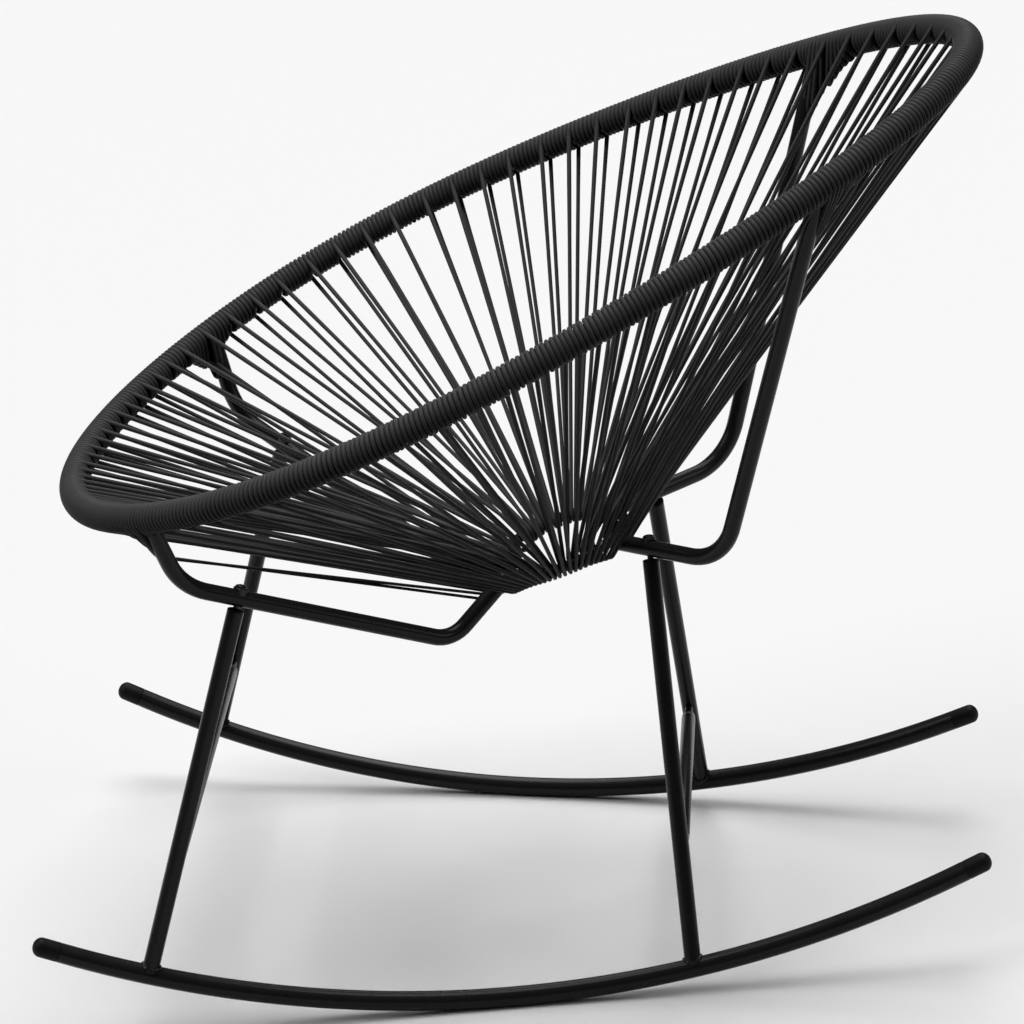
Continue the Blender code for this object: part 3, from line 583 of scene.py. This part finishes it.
def leg_ends(name, side):
    """Where a leg's axis crosses its support tube and its rocker, and the tube's direction there."""
    corners, _ = support_corners(name, side)
    way = unit(corners[2] - corners[1])
    return corners[1] + way * LEG_ALONG_TUBE[name], rocker_line(LEG_ON_ROCKER[name], side), way


def leg_plug(radius):
    """Profile of a leg's plug: a thin seam, a collar, and a low dome."""
    inset = radius - LEG_PLUG_INSET
    collar = [(inset, -LEG_PLUG_SEAM), (inset, LEG_PLUG_SEAM), (radius, 2 * LEG_PLUG_SEAM)]
    return collar + dome(radius, LEG_PLUG_COLLAR, LEG_PLUG_DOME - LEG_PLUG_COLLAR)


for name, tag, side in QUARTERS:
    upper, lower, _ = leg_ends(name, side)
    up = unit(upper - lower)
    top = upper - up * (FRAME_TUBE / 2 + LEG_TOP_GAP + LEG_PLUG_DOME)
    rocker_way = way_at(rocker_line, LEG_ON_ROCKER[name], side)
    bead = weld_bead(lower, up, FRAME_TUBE / 2, rocker_way, ROCKER_TUBE / 2, LEG_WELD)
    tube = swept(np.linspace(lower, top, LEG_RINGS), FRAME_TUBE / 2, LEFT, TUBE_FACES)
    make_piece(f"leg_tube_{name}_{tag}", [tube, bead], powder_coat, [f"leg_{name}_{tag}"])
    plug = turned(leg_plug(FRAME_TUBE / 2), top, up, TUBE_FACES)
    make_piece(f"leg_top_{name}_{tag}", [plug], plug_finish, [f"leg_plug_{name}_{tag}"])
    print(name, tag, "leg", round(float(np.linalg.norm(top - lower)), 3), "m")

# %% [markdown]
# ## Seat bolts
#
# A button-head bolt goes down through each support tube into the leg's plug. Under its head is a washer
# that is hollowed to sit on the round tube. The head has a six-sided socket: the radius of its wall at an
# angle is the flat's distance divided by the cosine of the angle from the middle of that flat.

# %% Seat bolts and saddle washers
SEAT_BOLT = 6 * MM
BOLT_HEAD = 11 * MM
BOLT_HEAD_HEIGHT = 3 * MM
BOLT_HEAD_EDGE = 1 * MM
BOLT_GRIP = 14 * MM
BOLT_FACES = 24
SOCKET_FLAT = 2 * MM
SOCKET_DEPTH = 2 * MM
SOCKET_FLOOR = 0.05
SADDLE_WASHER = 14 * MM
SADDLE_HEIGHT = 2 * MM
SADDLE_EDGE = 0.6 * MM
SADDLE_BORE_GAP = 0.2 * MM


def hexagon(flat, sides):
    """Radius of a hexagon's wall at each of the angles of a ring."""
    angle = np.linspace(0.0, FULL, sides, endpoint=False)
    return flat / np.cos((angle % (np.pi / 3)) - np.pi / 6)


def seat_bolt(upper, up, hint):
    """A shank, a button head, and the socket in it, whose floor closes to a small share of its width."""
    head = FRAME_TUBE / 2 + SADDLE_HEIGHT
    tip = -(FRAME_TUBE / 2 + LEG_TOP_GAP + LEG_PLUG_DOME + BOLT_GRIP)
    round_top = dome(BOLT_HEAD / 2, head + BOLT_HEAD_EDGE, BOLT_HEAD_HEIGHT - BOLT_HEAD_EDGE)[:4]
    profile = [(SEAT_BOLT / 2, tip), (SEAT_BOLT / 2, head), (BOLT_HEAD / 2, head), *round_top]
    rise = head + BOLT_HEAD_HEIGHT
    floor = rise - SOCKET_DEPTH
    heights = np.array([height for _, height in profile] + [rise, floor, floor])
    radius = np.array([[reach] * BOLT_FACES for reach, _ in profile])
    socket = hexagon(SOCKET_FLAT, BOLT_FACES)
    radius = np.concatenate((radius, [socket, socket, socket * SOCKET_FLOOR]))
    ways = np.broadcast_to(up, (len(heights), 3))
    return rings(upper + heights[:, None] * up, ways, radius, hint, BOLT_FACES), False


def saddle_washer(upper, up, tube_way, sides=40):
    """A turned washer with its foot on the tube, at height sqrt(r^2 - (distance off the tube's axis)^2)."""
    across = unit(np.cross(up, tube_way))
    inner, outer = SEAT_BOLT / 2 + SADDLE_BORE_GAP, SADDLE_WASHER / 2
    radius = np.array((inner, outer, outer, outer - SADDLE_EDGE, inner, inner))
    grid = rings(np.repeat(upper[None], 6, axis=0), np.broadcast_to(up, (6, 3)), radius, tube_way, sides)
    off = (grid - upper) @ across
    foot = np.sqrt(np.maximum((FRAME_TUBE / 2) ** 2 - off ** 2, 0.0))
    crown = FRAME_TUBE / 2 + SADDLE_HEIGHT
    level = np.array((0.0, 0.0, crown - SADDLE_EDGE, crown, crown, 0.0))[:, None]
    height = np.where(level > 0, level, foot)
    return grid + height[..., None] * up, True


for name, tag, side in QUARTERS:
    upper, lower, way = leg_ends(name, side)
    up = unit(upper - lower)
    bolt = seat_bolt(upper, up, way)
    make_piece(f"button_bolt_{name}_{tag}", [bolt], black_oxide, [f"seat_bolt_{name}_{tag}"])
    washer = saddle_washer(upper, up, way)
    node = f"saddle_washer_{name}_{tag}"
    made = make_piece(f"saddle_{name}_{tag}", [washer], black_oxide, [node])
print("saddle washer faces:", len(made.data.polygons))

# %% [markdown]
# ## Stretchers
#
# Two thinner tubes tie the legs together from side to side. Each ends in a rounded plug, and a stud from
# it goes into the leg, with a washer and a nut between. The nut is a hexagon whose corners are turned off
# at both faces.

# %% Stretchers, studs, nuts and washers
STRETCHER_TUBE = 14 * MM
STRETCHER_ALONG_LEG = {"front": 0.75, "rear": 0.725}
STRETCHER_SETBACK = 34 * MM
STRETCHER_DOME = 3 * MM
STUD = 8 * MM
STUD_GRIP = 16 * MM
STUD_FACES = 16
NUT = 12.5 * MM
NUT_THICKNESS = 7 * MM
NUT_CUT = 1 * MM
NUT_FACE = 0.9
STUD_WASHER = 13.5 * MM
STUD_WASHER_THICKNESS = 3 * MM
STUD_WASHER_EDGE = 0.5 * MM
STUD_WASHER_FACES = 28


def stretcher_centre(name):
    """Where a stretcher's axis crosses the left leg's axis."""
    upper, lower, _ = leg_ends(name, 1.0)
    return upper + (lower - upper) * STRETCHER_ALONG_LEG[name]


def stretcher(half):
    """Profile of a stretcher: a tube with a rounded plug in each end."""
    end = dome(STRETCHER_TUBE / 2, half - STRETCHER_DOME, STRETCHER_DOME)
    return [(radius, -height) for radius, height in reversed(end)] + end


def blunt_disc(wall, face, cut, first, last):
    """Profile of a disc between two heights, whose wall narrows over a cut to its radius at both faces."""
    return [(face, first), (wall, first + cut), (wall, last - cut), (face, last)]


for name in ("front", "rear"):
    centre = stretcher_centre(name)
    half = centre[0] - STRETCHER_SETBACK
    middle = centre * (0.0, 1.0, 1.0)
    bar = turned(stretcher(half), middle, LEFT, TUBE_FACES, UP)
    make_piece(f"stretcher_tube_{name}", [bar], powder_coat, [f"{name}_stretcher"])
    for tag, side in SIDES.items():
        point = centre * (side, 1.0, 1.0)
        inward = -side * LEFT
        profile = [(STUD / 2, 0.0), (STUD / 2, STRETCHER_SETBACK + STUD_GRIP)]
        stud = turned(profile, point, inward, STUD_FACES, UP)
        make_piece(f"stud_{name}_{tag}", [stud], black_oxide, [f"stretcher_stud_{name}_{tag}"])
        seat = STRETCHER_SETBACK - STUD_WASHER_THICKNESS
        wall = STUD_WASHER / 2
        profile = blunt_disc(wall, wall - STUD_WASHER_EDGE, STUD_WASHER_EDGE, seat, STRETCHER_SETBACK)
        washer = turned(profile, point, inward, STUD_WASHER_FACES, UP)
        make_piece(f"washer_{name}_{tag}", [washer], zinc, [f"stretcher_washer_{name}_{tag}"])
        profile = blunt_disc(NUT / 2, NUT / 2 * NUT_FACE, NUT_CUT, seat - NUT_THICKNESS, seat)
        nut = turned(profile, point, inward, 6, UP)
        node = f"stretcher_nut_{name}_{tag}"
        make_piece(f"nut_{name}_{tag}", [nut], black_oxide, [node], sharp=20.0)
    print(name, "stretcher", round(2 * float(half), 3), "m")

# %% [markdown]
# ## Hoop and seat ring
#
# The hoop's tube and the ring's rod lie under the cord. They are plain closed sweeps of their own lines.

# %% Hoop tube and ring rod
HOOP_TUBE = 19 * MM
HOOP_RINGS = 240
HOOP_FACES = 16
around = np.linspace(0.0, FULL, HOOP_RINGS, endpoint=False)
hoop_hint = np.array((0.0, -np.sin(HOOP_TILT), np.cos(HOOP_TILT)))
hoop = swept(hoop_line(around), HOOP_TUBE / 2, hoop_hint, HOOP_FACES, True)
make_piece("hoop_tube", [hoop], powder_coat, ["rim_hoop"])
ring_hint = np.array((0.0, -np.sin(RING_TILT), np.cos(RING_TILT)))
ring = swept(ring_line(around[::2]), RING_ROD / 2, ring_hint, HOOP_FACES, True)
made = make_piece("ring_rod", [ring], powder_coat, ["seat_ring"])
print("ring faces:", len(made.data.polygons))

# %% [markdown]
# ## The lacing
#
# One cord is wound on the hoop. After some turns it leaves the underside, runs to the ring, goes round the
# ring's inner side and comes back to the top of the hoop, where the winding goes on half a turn later, so
# the turns stay close all the way. It could be made from separate coils and bars, but a single path is
# what the cord does, and it leaves no joins to hide. The path repeats in cells, one to each pair of runs,
# so all the cells of a section are worked out at once: winding in, run under, loop, run over, winding out.
#
# At a distance s along the hoop from a support tube, the winding angle is a = 2 pi s / pitch, counted from
# the side that faces the ring over the top. A trip to the ring is centred on a whole turn, so the cord is
# under the hoop a quarter pitch before it and over the hoop a quarter pitch after it, and the half turn
# between is the trip.
#
# Beside each tube the hoop has a small three-cornered plate welded in. It reaches down along the tube, and
# its depth falls to nothing over its length along the hoop. The turns go round hoop and plate together: a
# turn there is the outline of two circles, the hoop's and a smaller one on the plate's edge. Over the last
# turn before a run, the cord comes up from the plate. On the ring, the loops nearest a tube go round the
# tube's end too, so they stand further out.

# %% Sizes of the lacing
CORD = 4.7 * MM
RUN_CORD = 4.1 * MM
CORD_FACES = 8
POINTS_PER_TURN = 20
RUN_POINTS = 6
LOOP_POINTS = 9
WIND_RADIUS = HOOP_TUBE / 2 + CORD / 2
TURN_GAP = 0.1 * MM
TURN_DRIFT = 0.25 * MM
DRIFT_WAVES = (151.0, 97.0)
PLATE_RADIUS = 4 * MM
PLATE_FULL_DEPTH = 20 * MM
PLATE_GRIP = 1.6
RUN_START_DEPTH = 0.3
LOOP_RADIUS = RING_ROD / 2 + RUN_CORD / 2
LOOP_SLANT = 0.25 * RUN_CORD
LOOP_SCATTER = 0.3 * MM
LAYER_RISE = 3.4 * MM
JOINT_SWELL = 8 * MM
JOINT_SWELL_REACH = np.radians(20.0)
RING_JOINT_GAP = np.radians(7.5)
chance = np.random.default_rng(11)


def joint_way(turn):
    """Direction of the support tube that leaves the hoop at a joint's turn."""
    side = 1.0 if turn % FULL < np.pi else -1.0
    name = "rear" if np.cos(turn) > 0 else "front"
    corners, _ = support_corners(name, side)
    return unit(corners[1] - corners[0])


def round_bar(line, turn, target):
    """At turns of a line: point, way, the side that faces a target, and the top, square to each other."""
    point = line(turn)
    way = way_at(line, turn, step=1e-4)
    across = target - point
    inner = unit(across - (across * way).sum(axis=-1, keepdims=True) * way)
    return point, way, inner, np.cross(inner, way)


def blend_points(first, last, count):
    """Points between two arrays of points, the ends left out, along a new axis."""
    share = np.linspace(0.0, 1.0, count + 2)[1:-1, None]
    return first[:, None] * (1 - share) + last[:, None] * share


print("wrapped hoop is", round((HOOP_TUBE + 2 * CORD) * 1000, 1), "mm thick")

# %% [markdown]
# The support tubes part the hoop into four arcs. The rear arc and the sides have a pair of runs about
# every 34 mm. The front arc's pairs stand closer, except beside the tubes, where they are spread, and its
# loops lie on the ring in two layers. A plate is given by its length along the hoop and its depth.

# %% The four arcs
ARC_MARGIN = 0.05
ARC_SAMPLES = 4001
REAR_HOOP, FRONT_HOOP = HOOP_JOINT["rear"], HOOP_JOINT["front"]
REAR_RING, FRONT_RING = RING_JOINT["rear"], RING_JOINT["front"]
ARCS = {
    "rear": {"hoop": (-REAR_HOOP, REAR_HOOP), "ring": (-REAR_RING, REAR_RING),
             "pairs": 16, "sections": 2, "layers": 1, "spread": 0.0, "plate": (0.050, 0.065)},
    "left": {"hoop": (REAR_HOOP, FRONT_HOOP), "ring": (REAR_RING, FRONT_RING),
             "pairs": 21, "sections": 3, "layers": 1, "spread": 0.0, "plate": (0.014, 0.012)},
    "front": {"hoop": (FRONT_HOOP, FULL - FRONT_HOOP), "ring": (FRONT_RING, FULL - FRONT_RING),
              "pairs": 26, "sections": 2, "layers": 2, "spread": 0.6, "plate": (0.036, 0.053)},
    "right": {"hoop": (FULL - FRONT_HOOP, FULL - REAR_HOOP), "ring": (FULL - FRONT_RING, FULL - REAR_RING),
              "pairs": 21, "sections": 3, "layers": 1, "spread": 0.0, "plate": (0.014, 0.012)},
}
for arc in ARCS.values():
    first, last = arc["hoop"]
    turns = np.linspace(first - ARC_MARGIN, last + ARC_MARGIN, ARC_SAMPLES)
    run = distances(hoop_line(turns))
    run = run - np.interp(first, turns, run)
    length = np.interp(last, turns, run)
    pitch = length / round(length / (CORD + TURN_GAP))
    arc.update(turns=turns, run=run, length=length, pitch=pitch)
print("pairs of runs:", sum(arc["pairs"] for arc in ARCS.values()))


# %% Cells and winding of a section
def section_cells(arc, section):
    """Numbers of a section's cells, and how far along the arc each starts, makes its trip and ends.

    A cell's share of the arc is 1 + spread * exp(-(cells from the tube / 2)^2). Its trip is moved to the
    nearest whole turn, and it ends half-way to the next trip.
    """
    order = np.arange(arc["pairs"])
    shares = 1 + arc["spread"] * np.exp(-(np.minimum(order, order[::-1]) / 2) ** 2)
    middles = arc["length"] * (np.cumsum(shares) - shares / 2) / shares.sum()
    middles = arc["pitch"] * np.round(middles / arc["pitch"])
    bounds = np.concatenate(([0.0], (middles[1:] + middles[:-1]) / 2, [arc["length"]]))
    first, last = (count * arc["pairs"] // arc["sections"] for count in (section, section + 1))
    return order[first:last], bounds[first:last], middles[first:last], bounds[first + 1:last + 1]


def winding(arc, first, last, steps, least):
    """Points of the winding between two distances along an arc, and their directions from the hoop.

    Over the last turn, the plate under it shrinks to a least share, and the cord comes up for its run.
    """
    place = np.linspace(first, last, steps, axis=1)
    drift = TURN_DRIFT * (np.sin(place * DRIFT_WAVES[0]) + np.sin(place * DRIFT_WAVES[1] + 1.0))
    turn = np.interp(place + drift, arc["run"], arc["turns"])
    ring_first, ring_last = arc["ring"]
    facing = ring_line(ring_first + (ring_last - ring_first) * place / arc["length"])
    point, _, inner, top = round_bar(hoop_line, turn, facing)
    angle = (FULL * place / arc["pitch"])[..., None]
    outward = np.cos(angle) * inner + np.sin(angle) * top
    first_way, last_way = (joint_way(joint) for joint in arc["hoop"])
    down = np.where((place < arc["length"] / 2)[..., None], first_way, last_way)
    plate_length, plate_depth = arc["plate"]
    from_tube = np.minimum(place, arc["length"] - place)
    depth = plate_depth * np.clip(1 - from_tube / plate_length, 0.0, 1.0)
    depth = (depth * np.clip((last[:, None] - place) / arc["pitch"], least, 1.0))[..., None]
    share = np.clip((outward * down).sum(axis=-1, keepdims=True) * PLATE_GRIP, 0.0, 1.0) * (depth > 0)
    edge_radius = WIND_RADIUS + (PLATE_RADIUS - WIND_RADIUS) * np.minimum(depth / PLATE_FULL_DEPTH, 1.0)
    plate = depth * down + edge_radius * outward
    return point + WIND_RADIUS * outward * (1 - share) + plate * share, outward


print("cells of the first rear section:", len(section_cells(ARCS["rear"], 0)[0]))


# %% Loops and one section of the lacing
def ring_loops(arc, order, middles):
    """Half turns of cord round the ring's inner side, one for each cell, and their directions from it."""
    first, last = arc["ring"]
    reach = last - first - 2 * RING_JOINT_GAP
    turn = first + RING_JOINT_GAP + reach * (order + 0.5) / arc["pairs"]
    turn = turn + chance.normal(0.0, LOOP_SCATTER, len(order)) / (RING_DIAMETER / 2)
    hoop_middle = hoop_line(np.interp(middles, arc["run"], arc["turns"]))
    point, way, inner, top = round_bar(ring_line, turn, 2 * ring_line(turn) - hoop_middle)
    angle = np.linspace(-np.pi / 2, np.pi / 2, LOOP_POINTS)[:, None]
    outward = np.cos(angle) * inner[:, None] + np.sin(angle) * top[:, None]
    shift = np.linspace(-LOOP_SLANT, LOOP_SLANT, LOOP_POINTS)[:, None] * way[:, None]
    from_joint = np.minimum(turn - first, last - turn)
    swell = JOINT_SWELL * np.exp(-(from_joint / JOINT_SWELL_REACH) ** 2)
    radius = (LOOP_RADIUS + LAYER_RISE * (order % arc["layers"]) + swell)[:, None, None]
    return point[:, None] + radius * outward + shift, outward


def lacing(arc, section):
    """Path, outward direction and radius of the cord over one section, all of its cells at once."""
    order, starts, middles, ends = section_cells(arc, section)
    longest = max((middles - starts).max(), (ends - middles).max())
    steps = int(longest / arc["pitch"] * POINTS_PER_TURN) + 1
    quarter = arc["pitch"] / 4
    wind_in, in_outward = winding(arc, starts, middles - quarter, steps, RUN_START_DEPTH)
    wind_out, out_outward = winding(arc, middles + quarter, ends, steps, 1.0)
    loop, loop_outward = ring_loops(arc, order, middles)
    under = blend_points(wind_in[:, -1], loop[:, 0], RUN_POINTS)
    over = blend_points(loop[:, -1], wind_out[:, 0], RUN_POINTS)
    under_outward = unit(blend_points(in_outward[:, -1], loop_outward[:, 0], RUN_POINTS))
    over_outward = unit(blend_points(loop_outward[:, -1], out_outward[:, 0], RUN_POINTS))
    path = np.concatenate((wind_in, under, loop, over, wind_out[:, :-1]), axis=1)
    outward = (in_outward, under_outward, loop_outward, over_outward, out_outward[:, :-1])
    outward = np.concatenate(outward, axis=1)
    radius = np.full(path.shape[:2], CORD / 2)
    radius[:, steps:-steps] = RUN_CORD / 2
    return path.reshape(-1, 3), outward.reshape(-1, 3), radius.reshape(-1)


print("wound turns on the rear arc:", lacing(ARCS["rear"], 0)[0].shape[0] // POINTS_PER_TURN * 2)

# %% [markdown]
# Under the seat, two thin cords tie the lacing off to the left front tube. Each is taut, from the tube's
# inner side below the hoop to its inner side near the ring, and the second starts on top of the first. A
# taut cord is straight, so each is a round bar along a line between two marks on the tube.

# %% Tie cords
TIE_CORD = 3.0 * MM
TIE_SPACING = 10 * MM
TIES = ((0.0550, 0.4310, 0.0), (0.0555, 0.4250, TIE_CORD))


def tie_line(tube, first_mark, last_mark, first_lift):
    """A line between two marks along a tube, on its side towards the middle; the first end may be lifted."""
    run = distances(tube)
    marks = np.array((first_mark, last_mark))
    points = np.stack([np.interp(marks, run, tube[:, axis]) for axis in range(3)], axis=-1)
    lift = FRAME_TUBE / 2 + TIE_CORD / 2 + np.array((first_lift, 0.0))
    return spaced(points - lift[:, None] * LEFT, TIE_SPACING)


front_tube = spaced(bent_path(*support_corners("front", 1.0)), 2 * MM)
tie_lines = [tie_line(front_tube, *tie) for tie in TIES]
ties = [swept(line, TIE_CORD / 2, UP, CORD_FACES) for line in tie_lines]
print("tie cords:", [round(float(distances(line)[-1]), 3) for line in tie_lines], "m")

# %% Every section of the lacing
cord_length = 0.0
for name, arc in ARCS.items():
    for section in range(arc["sections"]):
        path, outward, radius = lacing(arc, section)
        strands = [(rings(path, ways_along(path), radius, outward, CORD_FACES), False)]
        if (name, section) == ("front", 0):
            strands += ties
        node = f"cord_{name}_{section + 1}"
        made = make_piece(f"lacing_{name}_{section + 1}", strands, cord_finish, [node], sharp=60.0)
        cord_length += float(distances(path)[-1])
print("cord laced:", round(cord_length, 1), "m, faces of the last section:", len(made.data.polygons))

# %% [markdown]
# ## Floor and light
#
# A black object is seen by what it reflects. The photograph has a strong soft light overhead and beyond
# the chair, which draws a bright line along the top of every round bar. One more stands half-way up before
# the chair and draws lines down the legs, but leaves the undersides dark, and a weak one behind it lifts
# the back. A lamp near the chair would leave the far floor grey, so each light is a wide sun: its width in
# degrees sets how soft it is, and it lights the whole floor evenly.
#
# The floor is white paper to the camera and to reflections. White paper also throws light up under the
# chair, which the photograph doesn't show, so to diffuse light the paper is grey: Light Path tells the two
# apart.

# %% Pale floor
FLOOR_SIZE = 60.0
floor_height = float(rocker_line(0.0, 1.0)[2] - ROCKER_TUBE / 2 + STEP[2])
floor_mesh = bpy.data.meshes.new("floor")
floor_corners = np.array(((-1, -1), (1, -1), (1, 1), (-1, 1))) * FLOOR_SIZE / 2
floor_mesh.from_pydata([(x, y, floor_height) for x, y in floor_corners.tolist()], [], [(0, 1, 2, 3)])
floor_finish, tree, shader = start_material("white_paper_floor", {"Roughness": 0.9})
rays = add_node(tree, "ShaderNodeLightPath").outputs
seen = rays["Is Camera Ray"]
for ray in ("Is Glossy Ray", "Is Transmission Ray"):
    either = add_node(tree, "ShaderNodeMath", None, {0: seen, 1: rays[ray]}, operation="MAXIMUM")
    seen = either.outputs[0]
paper = add_node(tree, "ShaderNodeMix", {"A": linear("#242424"), "B": linear("#f8f8f8")},
                 {"Factor": seen}, data_type="RGBA")
tree.links.new(paper.outputs["Result"], shader.inputs["Base Color"])
floor_mesh.materials.append(floor_finish)
floor = bpy.data.objects.new("floor", floor_mesh)
bpy.context.scene.collection.objects.link(floor)
print("floor at", round(floor_height, 5))

# %% Soft studio light
WORLD_LEVEL = 0.03
LIGHTS = (
    ("overhead", 270.0, 80.0, 1.6, 34.0),
    ("back", 270.0, 50.0, 0.8, 34.0),
    ("front", 15.0, 42.0, 1.0, 26.0),
    ("rear", 170.0, 32.0, 0.4, 30.0),
)
world = bpy.data.worlds.new("pale_studio")
world.use_nodes = True
background = world.node_tree.nodes["Background"].inputs
background["Color"].default_value = (1.0, 1.0, 1.0, 1.0)
background["Strength"].default_value = WORLD_LEVEL
bpy.context.scene.world = world
for name, azimuth, elevation, strength, width in LIGHTS:
    _, _, back = camera_axes(np.radians(azimuth), np.radians(elevation), 0.0)
    light = bpy.data.objects.new(name, bpy.data.lights.new(name, "SUN"))
    light.data.energy = strength
    light.data.angle = np.radians(width)
    light.rotation_euler = (0.0, np.radians(90.0 - elevation), np.arctan2(back[1], back[0]))
    bpy.context.scene.collection.objects.link(light)
bpy.context.scene.view_settings.view_transform = "Standard"
print("lights:", [light[0] for light in LIGHTS])
